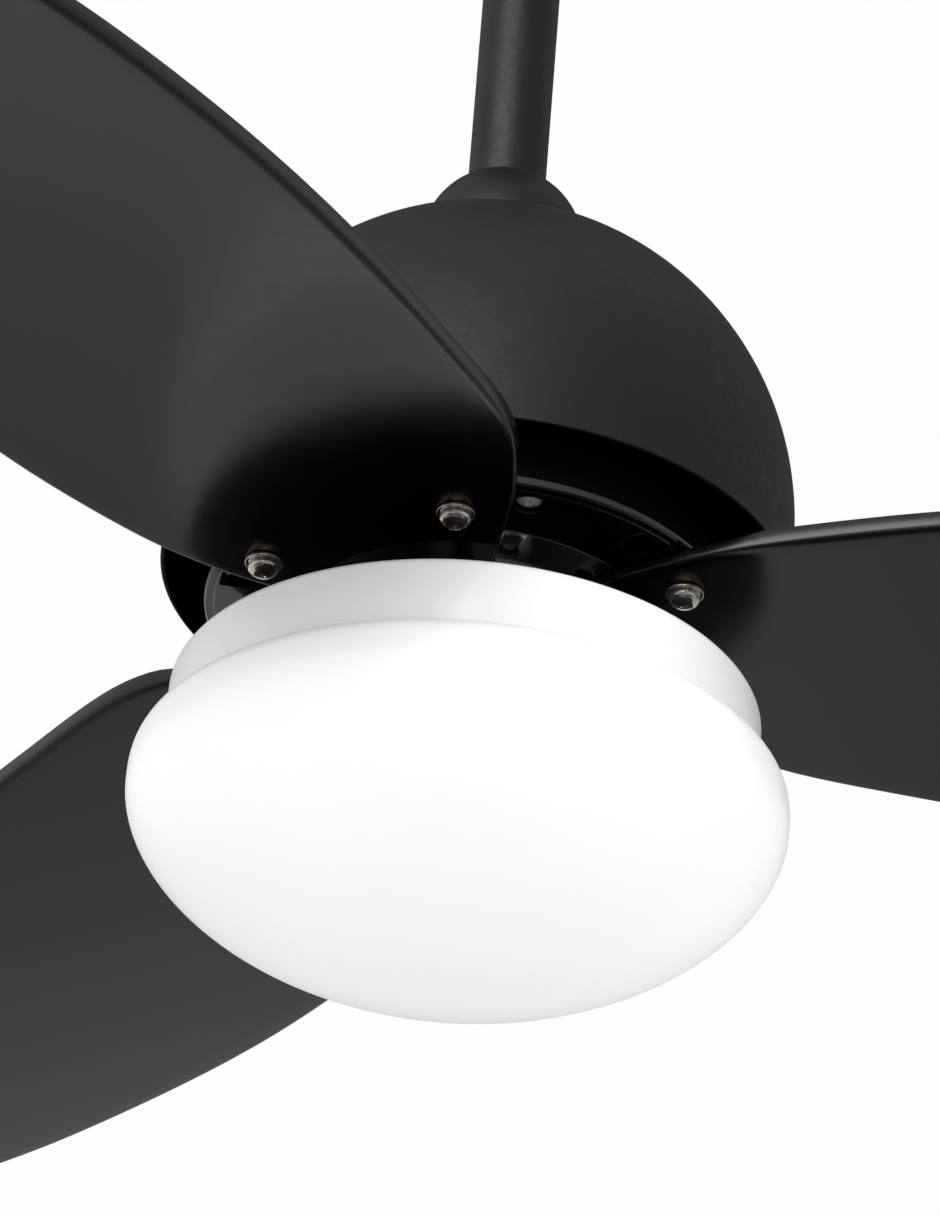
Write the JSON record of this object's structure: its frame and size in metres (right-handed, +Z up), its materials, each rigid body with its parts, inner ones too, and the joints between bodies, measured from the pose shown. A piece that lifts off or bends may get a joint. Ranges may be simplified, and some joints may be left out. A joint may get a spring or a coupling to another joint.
{
  "type": "ceiling fan with light",
  "caption": "Ceiling fan on a short downrod: moulded blades under a domed motor housing, with a round opal light below.",
  "frame": {"origin": "centre of the hanger bracket's top face, where it meets the ceiling", "axes": "+Z up into the ceiling along the downrod, +X along the hanger bracket and along blade 1"},
  "size_m": [0.8133, 0.9136, 0.5002],
  "materials": {
    "black_powder": "fine matte black powder coat",
    "rod_black": "satin black paint",
    "hub_gloss": "glossy deep black",
    "blade_black": "satin moulded black, glossy near the root",
    "black_nylon": "matte moulded nylon",
    "grey_plastic": "matte grey case",
    "white_paint": "smooth white paint, slightly cool",
    "opal": "soft satin opal white",
    "board_white": "white solder mask",
    "zinc": "bright zinc plate",
    "nickel": "polished nickel plate, slightly warm",
    "cast_aluminium": "as cast, fine grain",
    "silicon_steel": "stacked dull laminations",
    "copper_wire": "enamelled copper wire"
  },
  "bodies": {
    "ceiling_mount": {"hanger_bracket": "zinc", "canopy": "black_powder", "canopy_screw_1": "nickel", "canopy_screw_2": "nickel", "remote_receiver": "black_nylon"},
    "ball_gimbal": {"cross_pin": "zinc"},
    "fan_head": {"hanger_ball": "black_nylon", "ball_set_screw": "zinc", "downrod": "rod_black", "clevis_pin": "zinc", "clevis_clip": "zinc", "rod_set_screw": "zinc", "coupling_cover": "rod_black", "motor_yoke": "cast_aluminium", "dome_housing": "black_powder", "housing_screw_1": "zinc", "housing_screw_2": "zinc", "housing_screw_3": "zinc", "motor_shaft": "zinc", "stator_core": "silicon_steel", "winding_upper": "copper_wire", "winding_lower": "copper_wire", "bearing_upper": "zinc", "bearing_lower": "zinc", "light_adaptor": "hub_gloss", "shaft_nut": "zinc", "light_pan": "white_paint", "pan_screw_1": "zinc", "pan_screw_2": "zinc", "pan_screw_3": "zinc", "led_driver": "grey_plastic", "led_board": "board_white", "board_screw_1": "zinc", "board_screw_2": "zinc", "board_screw_3": "zinc"},
    "rotor": {"rotor_case_upper": "black_powder", "rotor_case_lower": "black_powder", "rotor_ring": "silicon_steel", "hub_plate": "hub_gloss", "case_screw_1": "zinc", "case_screw_2": "zinc", "case_screw_3": "zinc", "blade_1": "blade_black", "blade_2": "blade_black", "blade_3": "blade_black", "blade_screw_1": "nickel", "blade_screw_2": "nickel", "blade_screw_3": "nickel", "blade_screw_4": "nickel", "blade_screw_5": "nickel", "blade_screw_6": "nickel", "blade_washer_1": "nickel", "blade_washer_2": "nickel", "blade_washer_3": "nickel", "blade_washer_4": "nickel", "blade_washer_5": "nickel", "blade_washer_6": "nickel"},
    "light_cover": {"diffuser": "opal"}
  },
  "joints": [
    {"name": "tilt_x", "type": "hinge", "parent": "ceiling_mount", "child": "ball_gimbal", "pos_m": [0, 0, -0.04], "axis": [1, 0, 0], "range_deg": [-10, 10]},
    {"name": "tilt_y", "type": "hinge", "parent": "ball_gimbal", "child": "fan_head", "pos_m": [0, 0, -0.04], "axis": [0, 1, 0], "range_deg": [-10, 10]},
    {"name": "rotor_spin", "type": "hinge", "parent": "fan_head", "child": "rotor", "pos_m": [0, 0, -0.362], "axis": [0, 0, 1], "continuous": true},
    {"name": "diffuser_twist", "type": "hinge", "parent": "fan_head", "child": "light_cover", "pos_m": [0, 0, -0.43], "axis": [0, 0, 1], "range_deg": [0, 18]}
  ]
}
